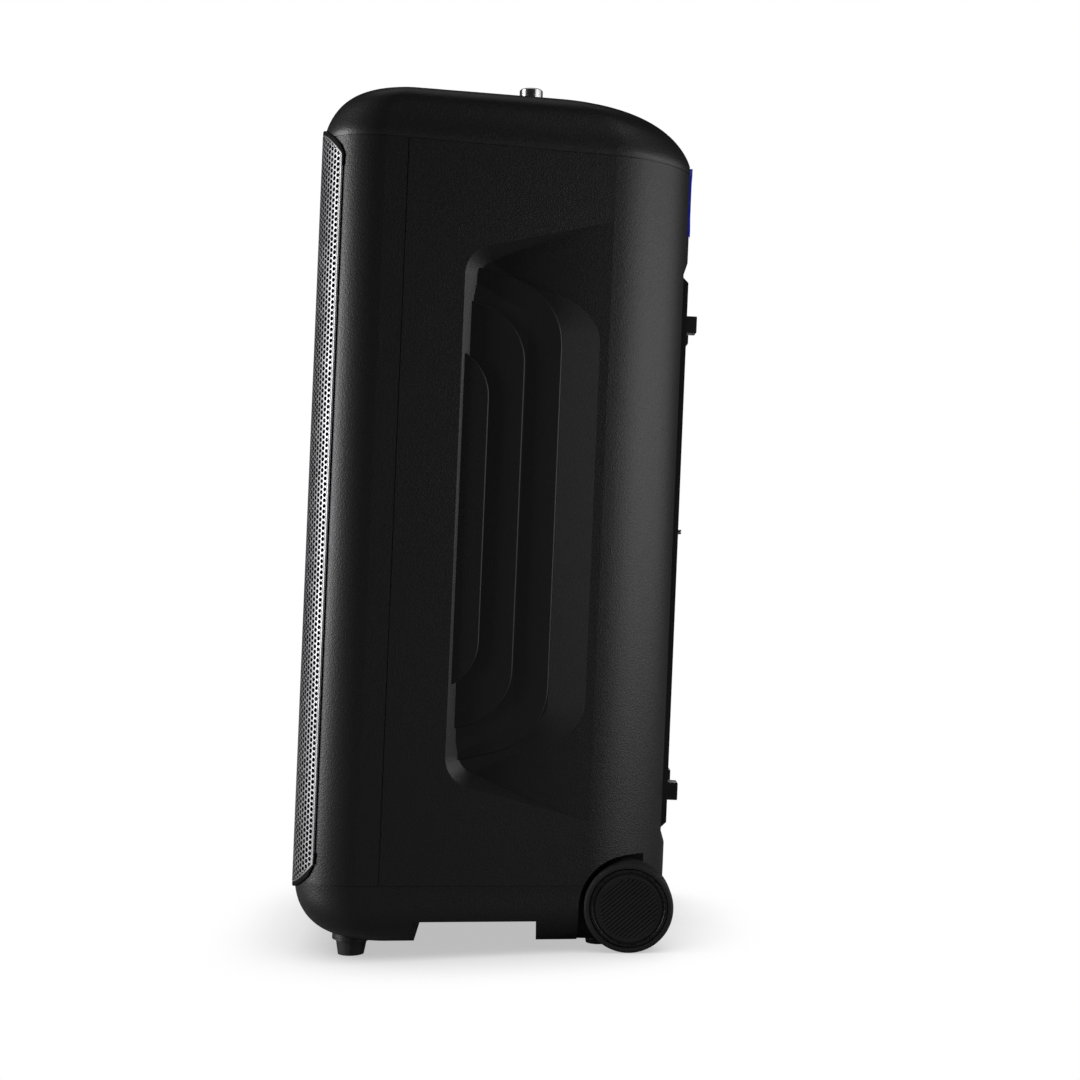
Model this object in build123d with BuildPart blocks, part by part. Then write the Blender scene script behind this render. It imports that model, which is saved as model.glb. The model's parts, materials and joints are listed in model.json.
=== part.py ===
from build123d import *
from math import asin, atan, cos, degrees, radians, sin, sqrt, tan
import os

# A portable party speaker: a tall cabinet that leans back on tall front feet, short rear feet
# and two wheels. The floor is z = 0, the front faces -Y, and lengths are in millimetres.
# The cabinet's own directions are: across (X), back along its depth, and up along its height.

# Driving dimensions of the cabinet, in its own leaning directions
LEAN = 2.37                 # degrees that the cabinet leans back
FRONT = -171.5              # front face
BACK = 139.5                # back face
SIDE_HALF = 168.95          # half width at SIDE_AT
SIDE_AT = -120.0
SIDE_TAPER = 0.2254         # the flanks close in by this much per mm towards the back
FRONT_CORNER = 45.0         # radius of the upright front corners
BACK_CORNER = 88.0          # radius of the upright back corners
BOTTOM = 8.9                # underside
LOW_SEAM = 58.8             # joint of bottom cap and housings
HIGH_SEAM = 664.6           # joint of housings and top cap
PARTING = -98.8             # joint of front and rear housing
TOP_FRONT_RISE = 43.5       # rise of the front top rounding above the high seam
TOP_BACK_RISE = 46.8
TOP_FRONT_RUN = 51.0
TOP_BACK_RUN = 80.0
TOP_SIDE_ROUND = 14.0
LOW_FRONT_RUN = 48.0
LOW_BACK_RUN = 24.0
LOW_SIDE_ROUND = 28.0
WALL = 3.5
CAP_WALL = 3.0
GROOVE = 0.8                # width of the shut lines
GROOVE_DEPTH = 0.6

# Grille opening
OPENING_HALF = 164.3
OPENING_LOW = 52.4
OPENING_HIGH = 671.4
OPENING_BACK = -154.5
OPENING_CORNER = 34.0
GRILLE_PROUD = 1.5
GRILLE_SHEET = 1.2
GRILLE_END_GAP = 3.4
GRILLE_SIDE_GAP = 0.7

# Drivers
BAFFLE_FRONT = -156.0
BAFFLE_BACK = -150.0
WOOFER_HEIGHTS = {"upper": 440.0, "lower": 205.0}
WOOFER_HOLE = 93.0
TWEETER_HEIGHT = 602.0
TWEETER_X = 72.0
TWEETER_HOLE = 32.0

# Wheels
WHEEL_Y = 106.3
WHEEL_Z = 41.8
WHEEL_RADIUS = 37.35
WHEEL_INNER = 101.0
WHEEL_OUTER = 128.0
WELL_RADIUS = 41.5
WELL_FLOOR = 97.0
AXLE_RADIUS = 5.0
AXLE_HALF = 124.6
HUB_RADIUS = 33.0
HUB_FACE = 125.2
CAP_RADIUS = 27.6
RIBS = 17
RIB_PITCH = 2.8
RIB_ANGLE = 42.0

# Feet and the grip channel under the cabinet
FOOT_BOSS = 7.4             # lower end of the bosses
BOSS_HEIGHT = 12.0
FRONT_FEET = [(-125.0, -122.5), (125.0, -122.5)]
REAR_FEET = [(-83.0, 84.0), (83.0, 84.0)]
FRONT_FOOT_RADIUS = 13.0
REAR_FOOT_RADIUS = 11.5
CHANNEL_FRONT = -70.2
CHANNEL_BACK = 30.5
CHANNEL_TOP = 29.2

# Telescopic handle
TUBE_X = 42.0
TUBE_Y = 112.0
TUBE_RADIUS = 7.0
TUBE_BOTTOM = 70.0
SLEEVE_RADIUS = 9.0
SLEEVE_TOP = 611.0
RUNNING_FIT = 0.1
RECESS_HALF = 58.0
RECESS_LOW = 613.0
GRIP_LOW = 674.0
GRIP_FRONT = 89.0
TUBE_INSERT = 16.0
RELEASE_LOW = 692.0
RELEASE_Y = 103.0
FRAME_MIDDLE = 643.7
FRAME_HEIGHT = 59.4
BRACKET_HEIGHTS = (82.0, 588.0)

# Back
RECESS_PLANE = 134.5
PANEL_HALF = 62.0
PANEL_LOW = 99.4
PANEL_HIGH = 576.4
IO_HALF = 30.0
IO_LOW = 250.0
IO_HIGH = 400.0
PORT_HEIGHT = 480.0
PORT_RADIUS = 26.0
LEVER_HEIGHT = 356.4
LEVER_X = 16.0
LEVER_PIVOT = 128.0
LEVER_TIP = 148.3
INLET_HALF = 16.0
INLET_LOW = 170.0
INLET_HIGH = 190.0
SCREW_RADIUS = 1.7
SCREW_HEAD = 3.4
SCREW_PLACES = [(x, z) for x in (-57.5, 57.5) for z in (112.0, 270.0, 420.0, 564.0)]
JACK_PLACES = [(-12.0, 276.0), (12.0, 276.0)]
JACK_OUTER = 5.5
JACK_BORE = 3.2
JACK_LENGTH = 20.0
AUX_PLACE = (-12.0, 306.0)
AUX_OUTER = 4.0
AUX_BORE = 1.8
USB_PLACE = (12.0, 306.0)
USB_WIDTH = 14.6
USB_HEIGHT = 7.2
BUMPER_X = 44.0
BUMPER_PROUD = 9.4
UPPER_BUMPER = 536.6
LOWER_BUMPER = 130.0

# Controls on the top
PANEL_CORNER = 12.0
PANEL_UNDER = 6.0           # depth of the panel's flange below the crown
BOARD_DEPTH = 12.4
BUTTON_LENGTH = 24.0
BUTTON_WIDTH = 11.0
BUTTON_PROUD = 1.4
KNOB_SHAFT = 3.0
DIAL_SHAFT = 4.0
SHAFT_FIT = 0.06
PANEL_Y = -36.5
PANEL_LENGTH = 236.0
PANEL_DEPTH = 117.0
KNOB_X = 100.0
KNOB_Y = -2.5
KNOB_RADIUS = 9.75
KNOB_HEIGHT = 12.5
DIAL_Y = -28.0
DIAL_RADIUS = 27.0
DIAL_HEIGHT = 14.0
BUTTON_Y = -78.0
BUTTONS = {
    "power": -80.0,
    "bluetooth": -48.0,
    "previous": -16.0,
    "play": 16.0,
    "next": 48.0,
    "light": 80.0,
}

# Leaning directions of the cabinet
cabinet = Plane(
    origin=(0, 0, 0),
    x_dir=(1, 0, 0),
    z_dir=(0, sin(radians(LEAN)), cos(radians(LEAN))),
)


def spot(x, y, z):
    """Floor-frame point of a place given in the cabinet's own directions."""
    return cabinet.from_local_coords(Vector(x, y, z))


def level(z):
    """Plane across the cabinet at a height, facing up."""
    return cabinet.offset(z)


def flank_plane(x):
    """Upright plane at x, facing +X, with the cabinet's depth and height as its axes."""
    return Plane(origin=spot(x, 0, 0), x_dir=cabinet.y_dir, z_dir=(1, 0, 0))


def front_plane(y):
    """Upright plane at depth y, facing the front."""
    return Plane(origin=spot(0, y, 0), x_dir=(1, 0, 0), z_dir=-cabinet.y_dir)


def back_plane(y):
    """Upright plane at depth y, facing the back; its x axis points to -X."""
    return Plane(origin=spot(0, y, 0), x_dir=(-1, 0, 0), z_dir=cabinet.y_dir)


def plan(plane, front, back, inset, front_radius, back_radius):
    """Tapered plan of the cabinet: a trapezoid with two sizes of rounded corner."""
    def half(y):
        return SIDE_HALF - SIDE_TAPER * (y - SIDE_AT) - inset / cos(atan(SIDE_TAPER))

    with BuildSketch(plane) as section:
        with BuildLine():
            Polyline(
                (-half(front), front),
                (half(front), front),
                (half(back), back),
                (-half(back), back),
                close=True,
            )
        make_face()
        fillet(section.vertices().group_by(Axis.X)[0], front_radius)
        fillet(section.vertices().group_by(Axis.X)[-1], front_radius)
        rear = [v for v in section.vertices() if abs(abs(v.X) - half(back)) < 0.01]
        fillet(rear, back_radius)
    return section.sketch


def straight_plan(inset, plane=None, back_inset=None):
    """Plan of the upright walls between the seams, drawn in by an inset."""
    rear = inset if back_inset is None else back_inset
    return plan(
        plane or level(LOW_SEAM),
        FRONT + inset,
        BACK - rear,
        inset,
        FRONT_CORNER - inset,
        BACK_CORNER - rear,
    )


def round_inset(drop, radius):
    """How far a rounded edge has drawn in where it is a drop below its crown."""
    if drop >= radius:
        return 0
    return radius - sqrt(radius ** 2 - (radius - drop) ** 2)


def top_section(angle, inset):
    """One level of the top rounding, from the high seam (0) to the crown (90)."""
    turn = radians(angle)
    run = 1 - cos(turn)
    front = FRONT + TOP_FRONT_RUN * run
    back = BACK - TOP_BACK_RUN * run
    front_z = HIGH_SEAM + (TOP_FRONT_RISE - inset) * sin(turn)
    back_z = HIGH_SEAM + (TOP_BACK_RISE - inset) * sin(turn)
    slope = (back_z - front_z) / (back - front)
    plane = Plane(
        origin=spot(0, 0, front_z - front * slope),
        x_dir=(1, 0, 0),
        z_dir=spot(0, -sin(atan(slope)), cos(atan(slope))),
    )
    side = round_inset(TOP_FRONT_RISE * (1 - sin(turn)), TOP_SIDE_ROUND)
    return plan(
        plane,
        front + inset,
        back - inset,
        side + inset,
        FRONT_CORNER - 20 * run - inset,
        BACK_CORNER - 30 * run - inset,
    )


def bottom_section(angle, inset):
    """One level of the bottom rounding, from the low seam (0) to the underside (90)."""
    turn = radians(angle)
    run = 1 - cos(turn)
    drop = LOW_SEAM - BOTTOM
    side = round_inset(drop * (1 - sin(turn)), LOW_SIDE_ROUND)
    return plan(
        level(LOW_SEAM - (drop - inset) * sin(turn)),
        FRONT + LOW_FRONT_RUN * run + inset,
        BACK - LOW_BACK_RUN * run - inset,
        side + inset,
        FRONT_CORNER - 15 * run - inset,
        BACK_CORNER - 10 * run - inset,
    )


TOP_ANGLES = [0, 18, 36, 52, 66, 77, 85, 90]
LOW_ANGLES = [0, 15, 30, 45, 60, 74, 84, 90]

with BuildPart() as top_form:
    loft([top_section(angle, 0) for angle in TOP_ANGLES])

with BuildPart() as top_hollow:
    loft([top_section(angle, CAP_WALL) for angle in TOP_ANGLES])

with BuildPart() as bottom_form:
    loft([bottom_section(angle, 0) for angle in LOW_ANGLES])

with BuildPart() as bottom_hollow:
    loft([bottom_section(angle, CAP_WALL) for angle in LOW_ANGLES])

with BuildPart() as middle_form:
    extrude(straight_plan(0), amount=HIGH_SEAM - LOW_SEAM)

with BuildPart() as middle_hollow:
    extrude(straight_plan(WALL, back_inset=8.5), amount=HIGH_SEAM - LOW_SEAM)

# Shut lines: shallow grooves along the two seams and the upright parting line
with BuildPart() as grooves:
    for seam in (LOW_SEAM, HIGH_SEAM):
        extrude(straight_plan(-5, level(seam - GROOVE / 2)), amount=GROOVE)
    with BuildSketch(flank_plane(0)):
        with Locations((PARTING, (LOW_SEAM + HIGH_SEAM) / 2)):
            Rectangle(GROOVE, HIGH_SEAM - LOW_SEAM)
    extrude(amount=200, both=True)
    extrude(
        straight_plan(GROOVE_DEPTH, level(LOW_SEAM - 5)),
        amount=HIGH_SEAM - LOW_SEAM + 10,
        mode=Mode.SUBTRACT,
    )


def opening_face(y, side_gap, end_gap):
    """Rounded outline of the grille opening, drawn in by gaps, on a plane facing front."""
    with BuildSketch(front_plane(y)) as face:
        with Locations((0, (OPENING_LOW + OPENING_HIGH) / 2)):
            RectangleRounded(
                2 * (OPENING_HALF - side_gap),
                OPENING_HIGH - OPENING_LOW - 2 * end_gap,
                OPENING_CORNER,
            )
    return face.sketch


with BuildPart() as grille_cut:
    extrude(opening_face(OPENING_BACK, 0, 0), amount=60)


def slab(y_low, y_high, x_half=200, z_low=-20, z_high=760):
    """Block between two depths, as wide and tall as asked, in the cabinet's directions."""
    with BuildPart() as block:
        with BuildSketch(front_plane(y_high)):
            with Locations((0, (z_low + z_high) / 2)):
                Rectangle(2 * x_half, z_high - z_low)
        extrude(amount=y_high - y_low)
    return block.part


# Side pocket: deepest at its front wall, its curved floor runs out into the flank
FLOOR_FRONT = (137.0, -36.0)
FLOOR_MIDDLE = (134.0, 18.0)
FLOOR_REAR = (125.7, 72.0)
POCKET_FRONT = -36.0
POCKET_FRONT_LOW = 154.6
POCKET_FRONT_HIGH = 567.5
POCKET_REAR = 110.0
POCKET_REAR_LOW = 97.1
POCKET_REAR_HIGH = 625.0
POCKET_DRAFT = 46.0


def tilted_plane(x, y, tilt):
    """Upright plane through a place, facing +X, turned a little to the back."""
    turn = radians(tilt)
    return Plane(
        origin=spot(x, y, 0),
        x_dir=spot(-sin(turn), cos(turn), 0),
        z_dir=spot(cos(turn), sin(turn), 0),
    )


pocket_plane = tilted_plane(*FLOOR_FRONT, 5.97)


# Plan of everything outside the pocket's floor, whose arc runs past both its ends
PROFILE_FRONT = -110.0
PROFILE_REAR = 130.0
PROFILE_OUT = 220.0
floor_arc = ThreePointArc(FLOOR_FRONT, FLOOR_MIDDLE, FLOOR_REAR)
arc_start = degrees(asin((PROFILE_FRONT - floor_arc.arc_center.Y) / floor_arc.radius))
arc_end = degrees(asin((PROFILE_REAR - floor_arc.arc_center.Y) / floor_arc.radius))
with BuildSketch(Plane.XY) as floor_profile:
    with BuildLine():
        whole = CenterArc(floor_arc.arc_center, floor_arc.radius, arc_start, arc_end - arc_start)
        Polyline(whole @ 1, (PROFILE_OUT, PROFILE_REAR), (PROFILE_OUT, PROFILE_FRONT), whole @ 0)
    make_face()


def pocket_form(growth, sink):
    """Solid that fills the pocket, grown sideways and sunk below its floor."""
    run = POCKET_REAR - POCKET_FRONT
    with BuildPart() as form:
        with BuildSketch(pocket_plane.offset(-sink)) as outline:
            with BuildLine():
                Polyline(
                    (0, POCKET_FRONT_LOW),
                    (0, POCKET_FRONT_HIGH),
                    (run, POCKET_REAR_HIGH),
                    (run, POCKET_REAR_LOW),
                    close=True,
                )
            make_face()
            fillet(outline.vertices().group_by(Axis.X)[0], 14)
            if growth:
                offset(amount=growth)
        extrude(amount=42, taper=-POCKET_DRAFT)
        with BuildSketch(level(0)):
            with Locations((-sink, 0)):
                add(floor_profile.sketch)
        extrude(amount=760, mode=Mode.INTERSECT)
    return form.part


pocket = pocket_form(0, 0)
pocket_backing = pocket_form(0.1, WALL)


def well_form(growth):
    """Space of one wheel: a round arch that runs out to the back."""
    with BuildPart() as form:
        with BuildSketch(flank_plane(WELL_FLOOR - growth)):
            with Locations((WHEEL_Y, WHEEL_Z)):
                Circle(WELL_RADIUS + growth)
            with Locations((WHEEL_Y + 30, WHEEL_Z - 30)):
                Rectangle(60 + 2 * growth, 2 * (WELL_RADIUS + growth) + 60)
            with Locations((WHEEL_Y, WHEEL_Z - 40)):
                Rectangle(2 * (WELL_RADIUS + growth), 80)
        extrude(amount=60)
    return form.part


well = well_form(0)
well_backing = well_form(WALL)


def both_sides(part):
    """A part and its mirror image across the middle of the cabinet."""
    return [part, part.mirror(Plane.YZ)]


# Front housing: the rounded front corners, joined behind the baffle by a frame
with BuildPart() as front_housing:
    add(middle_form.part)
    add(middle_hollow.part, mode=Mode.SUBTRACT)
    add(grille_cut.part, mode=Mode.SUBTRACT)
    add(slab(PARTING, 200), mode=Mode.SUBTRACT)
    add(grooves.part, mode=Mode.SUBTRACT)
with BuildPart() as baffle_frame:
    add(middle_hollow.part)
    add(slab(BAFFLE_BACK, BAFFLE_BACK + 4), mode=Mode.INTERSECT)
    with BuildSketch(front_plane(BAFFLE_BACK + 4)):
        with Locations((0, (LOW_SEAM + HIGH_SEAM) / 2)):
            RectangleRounded(274, HIGH_SEAM - LOW_SEAM - 32, 20)
    extrude(amount=10, mode=Mode.SUBTRACT)
with BuildPart() as front_housing_whole:
    add(front_housing.part)
    add(baffle_frame.part)

# Rear housing: flanks and back, with side pockets, wheel arches and the handle's opening
with BuildPart() as back_step:
    with BuildSketch(flank_plane(0)):
        with BuildLine():
            Polyline(
                (RECESS_PLANE, PANEL_LOW - 1),
                (BACK + 1, 81),
                (BACK + 10, 81),
                (BACK + 10, 592),
                (BACK + 1, 595),
                (RECESS_PLANE, PANEL_HIGH + 1),
                close=True,
            )
        make_face()
    extrude(amount=200, both=True)

with BuildPart() as rear_housing:
    add(middle_form.part)
    add(middle_hollow.part, mode=Mode.SUBTRACT)
    add(both_sides(pocket_backing & middle_form.part))
    add(both_sides(well_backing & middle_form.part))
    add(both_sides(pocket), mode=Mode.SUBTRACT)
    add(both_sides(well), mode=Mode.SUBTRACT)
    add(slab(-200, PARTING), mode=Mode.SUBTRACT)
    add(back_step.part, mode=Mode.SUBTRACT)
    add(slab(85, 160, RECESS_HALF + 3, RECESS_LOW - 0.5, 700), mode=Mode.SUBTRACT)
    add(slab(120, 160, 54, 120, 556), mode=Mode.SUBTRACT)
    with BuildSketch(back_plane(120)):
        with Locations(*SCREW_PLACES):
            Circle(SCREW_RADIUS + 0.1)
    extrude(amount=40, mode=Mode.SUBTRACT)
    with BuildSketch(flank_plane(0)):
        with Locations((WHEEL_Y, WHEEL_Z)):
            Circle(AXLE_RADIUS)
    extrude(amount=200, both=True, mode=Mode.SUBTRACT)
    add(grooves.part, mode=Mode.SUBTRACT)

# Plane of the flat crown, with its z axis straight out of the top
CROWN_FRONT = FRONT + TOP_FRONT_RUN
CROWN_BACK = BACK - TOP_BACK_RUN
CROWN_SLOPE = atan((TOP_BACK_RISE - TOP_FRONT_RISE) / (CROWN_BACK - CROWN_FRONT))
crown = Plane(
    origin=spot(0, 0, HIGH_SEAM + TOP_FRONT_RISE - CROWN_FRONT * tan(CROWN_SLOPE)),
    x_dir=(1, 0, 0),
    z_dir=spot(0, -sin(CROWN_SLOPE), cos(CROWN_SLOPE)),
)

# Top cap: one shell over the top, with a window for the controls and a gap for the grip
with BuildPart() as top_cap:
    add(top_form.part)
    add(top_hollow.part, mode=Mode.SUBTRACT)
    add(grille_cut.part, mode=Mode.SUBTRACT)
    with BuildSketch(crown.offset(-10)):
        with Locations((0, PANEL_Y)):
            RectangleRounded(PANEL_LENGTH, PANEL_DEPTH, PANEL_CORNER)
    extrude(amount=30, mode=Mode.SUBTRACT)
    add(slab(GRIP_FRONT - 1, 160, RECESS_HALF, 660, 760), mode=Mode.SUBTRACT)
    add(slab(85, 160, RECESS_HALF + 3, 600, GRIP_LOW), mode=Mode.SUBTRACT)
    add(grooves.part, mode=Mode.SUBTRACT)

# Bottom cap: shell with a grip channel across it, wheel arches and bosses for the feet
with BuildPart() as bottom_cavity:
    add(bottom_hollow.part)
    channel_walls = slab(CHANNEL_FRONT - WALL, CHANNEL_BACK + WALL, z_high=CHANNEL_TOP + WALL)
    add(channel_walls, mode=Mode.SUBTRACT)
    add(both_sides(well_backing), mode=Mode.SUBTRACT)

with BuildPart() as bottom_cap:
    add(bottom_form.part)
    add(bottom_cavity.part, mode=Mode.SUBTRACT)
    add(slab(CHANNEL_FRONT, CHANNEL_BACK, z_high=CHANNEL_TOP), mode=Mode.SUBTRACT)
    with BuildSketch(level(FOOT_BOSS)):
        with Locations(*FRONT_FEET):
            Circle(FRONT_FOOT_RADIUS + 3)
        with Locations(*REAR_FEET):
            Circle(REAR_FOOT_RADIUS + 2)
    extrude(amount=BOSS_HEIGHT)
    add(both_sides(well), mode=Mode.SUBTRACT)
    add(grille_cut.part, mode=Mode.SUBTRACT)
    with BuildSketch(flank_plane(0)):
        with Locations((WHEEL_Y, WHEEL_Z)):
            Circle(AXLE_RADIUS)
    extrude(amount=200, both=True, mode=Mode.SUBTRACT)
    add(grooves.part, mode=Mode.SUBTRACT)


def disc(plane, place, radius):
    """Round face at a place on a plane."""
    with BuildSketch(plane) as face:
        with Locations(place):
            Circle(radius)
    return face.sketch


def feet(places, top_radius, floor_radius, top):
    """Tapered rubber feet from the bosses down to the floor."""
    with BuildPart() as group:
        for place in places:
            loft([disc(level(top), place, top_radius), disc(level(top - 20), place, floor_radius)])
        with BuildSketch(Plane.XY):
            Rectangle(500, 500)
        extrude(amount=-50, mode=Mode.SUBTRACT)
    return group


front_feet = feet(FRONT_FEET, FRONT_FOOT_RADIUS, FRONT_FOOT_RADIUS - 3.5, FOOT_BOSS)
rear_feet = feet(REAR_FEET, REAR_FOOT_RADIUS, REAR_FOOT_RADIUS - 4, FOOT_BOSS)

# Grille: thin sheet wrapped round the front corners, a little proud of the housing
with BuildPart() as grille:
    extrude(straight_plan(-GRILLE_PROUD, level(40)), amount=650)
    inner_skin = GRILLE_SHEET - GRILLE_PROUD
    extrude(straight_plan(inner_skin, level(40)), amount=650, mode=Mode.SUBTRACT)
    face = opening_face(OPENING_BACK - 1, GRILLE_SIDE_GAP, GRILLE_END_GAP)
    extrude(face, amount=60, mode=Mode.INTERSECT)


def opening_ring(outer_gap, inner_gap, skin):
    """Ring inside the grille opening, from the baffle out to an inset skin of the cabinet."""
    with BuildPart() as ring:
        extrude(opening_face(BAFFLE_FRONT, outer_gap, outer_gap), amount=60)
        extrude(opening_face(BAFFLE_FRONT, inner_gap, inner_gap), amount=60, mode=Mode.SUBTRACT)
        extrude(straight_plan(skin, level(40)), amount=650, mode=Mode.INTERSECT)
    return ring.part


with BuildPart() as grille_frame:
    add(opening_ring(0.3, 12, 2.7))
    add(opening_ring(5.0, 12, inner_skin))

# Baffle that carries the drivers
with BuildPart() as front_baffle:
    with BuildSketch(front_plane(BAFFLE_BACK)):
        with Locations((0, (OPENING_LOW + OPENING_HIGH) / 2)):
            RectangleRounded(300, OPENING_HIGH - OPENING_LOW - 6, 26)
        for height in WOOFER_HEIGHTS.values():
            with Locations((0, height)):
                Circle(WOOFER_HOLE, mode=Mode.SUBTRACT)
        with Locations((-TWEETER_X, TWEETER_HEIGHT), (TWEETER_X, TWEETER_HEIGHT)):
            Circle(TWEETER_HOLE, mode=Mode.SUBTRACT)
    extrude(amount=BAFFLE_BACK - BAFFLE_FRONT)


def driver_plane(x, z):
    """Plane through a driver's axis: its x axis is depth and its y axis is radius."""
    return Plane(origin=spot(x, 0, z), x_dir=cabinet.y_dir, z_dir=(1, 0, 0))


def driver_axis(x, z):
    return Axis(spot(x, 0, z), cabinet.y_dir)


def woofer_basket(height):
    """Pressed frame: a flange on the baffle and a cone-shaped cage behind it."""
    with BuildPart() as basket:
        with BuildSketch(driver_plane(0, height)):
            with BuildLine():
                Polyline(
                    (-160, 89.6), (-160, 103), (-156, 103), (-156, 92.6), (-146, 92.6),
                    (-104, 52), (-92, 52), (-92, 26), (-95, 26), (-95, 49),
                    (-105, 49), (-147, 89.6),
                    close=True,
                )
            make_face()
        revolve(axis=driver_axis(0, height))
    return basket


def cap_arc(apex, half_width, rise, skin=0):
    """Arc of a dome whose centre lies on the driver's axis, from its apex to its edge."""
    radius = (half_width ** 2 + rise ** 2) / (2 * rise)
    turn = degrees(asin(half_width / radius))
    return CenterArc((apex + radius, 0), radius - skin, 180, -turn)


def woofer_cone(height):
    """Half-roll surround, paper cone and domed dust cap in one thin moving skin."""
    with BuildPart() as cone:
        with BuildSketch(driver_plane(0, height)):
            with BuildLine():
                front_dome = cap_arc(-138, 26, 11)
                back_dome = cap_arc(-138, 26, 11, 1.6)
                Line(front_dome @ 0, back_dome @ 0)
                Line(front_dome @ 1, (-155, 74))
                ThreePointArc((-155, 74), (-163, 82), (-157, 89.6))
                Line((-157, 89.6), (-155, 89.6))
                ThreePointArc((-155, 89.6), (-161, 82), (-153, 75.2))
                Line((-153, 75.2), (-124, 26.8))
                Line((-124, 26.8), back_dome @ 1)
            make_face()
        revolve(axis=driver_axis(0, height))
    return cone


woofer_parts = {}
for name, height in WOOFER_HEIGHTS.items():
    woofer_parts[f"{name}_woofer_basket"] = woofer_basket(height)
    woofer_parts[f"{name}_woofer_cone"] = woofer_cone(height)

with BuildPart() as woofer_magnets:
    with BuildSketch(front_plane(-66)):
        with Locations(*[(0, height) for height in WOOFER_HEIGHTS.values()]):
            Circle(50)
    extrude(amount=26)

with BuildPart() as woofer_light_rings:
    with BuildSketch(front_plane(BAFFLE_FRONT)):
        with Locations(*[(0, height) for height in WOOFER_HEIGHTS.values()]):
            Circle(113)
            Circle(104, mode=Mode.SUBTRACT)
    extrude(amount=5)


def tweeter_horn(x):
    """Flared horn with a flange on the front of the baffle."""
    with BuildPart() as horn:
        with BuildSketch(driver_plane(x, TWEETER_HEIGHT)):
            with BuildLine():
                Polyline(
                    (-162, 46), (-156, 46), (-156, 31.5), (-138, 31.5), (-138, 13),
                    (-146, 13),
                )
                ThreePointArc((-146, 13), (-155, 22), (-162, 42))
                Line((-162, 42), (-162, 46))
            make_face()
        revolve(axis=driver_axis(x, TWEETER_HEIGHT))
    return horn


left_tweeter_horn = tweeter_horn(-TWEETER_X)
right_tweeter_horn = tweeter_horn(TWEETER_X)

with BuildPart() as tweeter_drivers:
    for x in (-TWEETER_X, TWEETER_X):
        with BuildSketch(driver_plane(x, TWEETER_HEIGHT)):
            with BuildLine():
                dome = cap_arc(-146, 12.8, 6)
                Line(dome @ 1, (-138, 12.8))
                Polyline((-138, 12.8), (-138, 29), (-116, 29), (-116, 0))
                Line((-116, 0), dome @ 0)
            make_face()
        revolve(axis=driver_axis(x, TWEETER_HEIGHT))


# Side insert: three flat D-shaped plates in steps, on a low base whose edges slope gently
PLATE_TILT = 3.2
PLATES = [
    # right edge, its low and high ends, corner radius, height above the lowest plate
    (32.2, 178.1, 547.8, 57.0, 0.0),
    (2.0, 198.0, 526.1, 50.0, 3.8),
    (-26.6, 226.0, 491.0, 42.0, 8.0),
]
PLATE_SLOPE = 0.25          # rise of the low edges, and fall of the high ones, to the back
PLATE_EDGE = 0.9
BASE = (68.0, 168.0, 550.5, 54.0)
BASE_HEIGHT = 6.6
BASE_DRAFT = 79.6
PLATE_FRONT = -90.0
PLATE_X = 141.9
PLATE_Y = -39.3
plate_plane = tilted_plane(PLATE_X, PLATE_Y, PLATE_TILT)


def d_outline(plane, origin_y, right, low, high, radius):
    """D shape with its straight side to the front and sloping low and high edges."""
    fall = PLATE_SLOPE * (right - PLATE_FRONT)
    front_edge = PLATE_FRONT - origin_y
    rear_edge = right - origin_y
    with BuildSketch(plane) as outline:
        with BuildLine():
            Polyline(
                (front_edge, low - fall),
                (rear_edge, low),
                (rear_edge, high),
                (front_edge, high + fall),
                close=True,
            )
        make_face()
        fillet(outline.vertices().group_by(Axis.X)[-1], radius)
    return outline.sketch


def side_plate(right, low, high, radius, height):
    """One plate of the side insert, with a chamfered edge."""
    with BuildPart() as plate:
        face = d_outline(plate_plane.offset(height), PLATE_Y, right, low, high, radius)
        extrude(face, amount=-20)
        top = plate.faces().sort_by(Axis(plate_plane.origin, plate_plane.z_dir))[-1]
        chamfer(top.edges(), PLATE_EDGE)
    return plate.part


with BuildPart() as right_side_insert:
    base_face = d_outline(pocket_plane, FLOOR_FRONT[1], *BASE)
    extrude(base_face, amount=BASE_HEIGHT, taper=BASE_DRAFT)
    for right, low, high, radius, height in PLATES:
        add(side_plate(right, low, high, radius, height))
    add(pocket_form(-0.3, 0), mode=Mode.INTERSECT)
with BuildPart() as left_side_insert:
    add(right_side_insert.part.mirror(Plane.YZ))

# Controls on the crown
button_places = [(x, BUTTON_Y) for x in BUTTONS.values()]
knob_places = [(-KNOB_X, KNOB_Y), (KNOB_X, KNOB_Y)]

with BuildPart() as control_panel:
    with BuildSketch(crown.offset(-CAP_WALL)):
        with Locations((0, PANEL_Y)):
            RectangleRounded(PANEL_LENGTH - 0.6, PANEL_DEPTH - 0.6, PANEL_CORNER)
    extrude(amount=CAP_WALL)
    with BuildSketch(crown.offset(-PANEL_UNDER)):
        with Locations((0, PANEL_Y)):
            RectangleRounded(PANEL_LENGTH + 6, PANEL_DEPTH + 6, PANEL_CORNER)
    extrude(amount=PANEL_UNDER - CAP_WALL)
    with BuildSketch(crown.offset(-BOARD_DEPTH)):
        with Locations((0, PANEL_Y)):
            with GridLocations(204, 96, 2, 2):
                Circle(4)
    extrude(amount=BOARD_DEPTH - PANEL_UNDER)
    with BuildSketch(crown.offset(-PANEL_UNDER)):
        with Locations(*button_places):
            RectangleRounded(BUTTON_LENGTH + 0.5, BUTTON_WIDTH + 0.5, 4.2)
        with Locations((0, DIAL_Y)):
            Circle(DIAL_SHAFT + SHAFT_FIT)
        with Locations(*knob_places):
            Circle(KNOB_SHAFT + SHAFT_FIT)
    extrude(amount=20, mode=Mode.SUBTRACT)

with BuildPart() as control_board:
    with BuildSketch(crown.offset(-BOARD_DEPTH - 1.6)):
        with Locations((0, PANEL_Y)):
            Rectangle(216, 108)
    extrude(amount=1.6)


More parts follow.
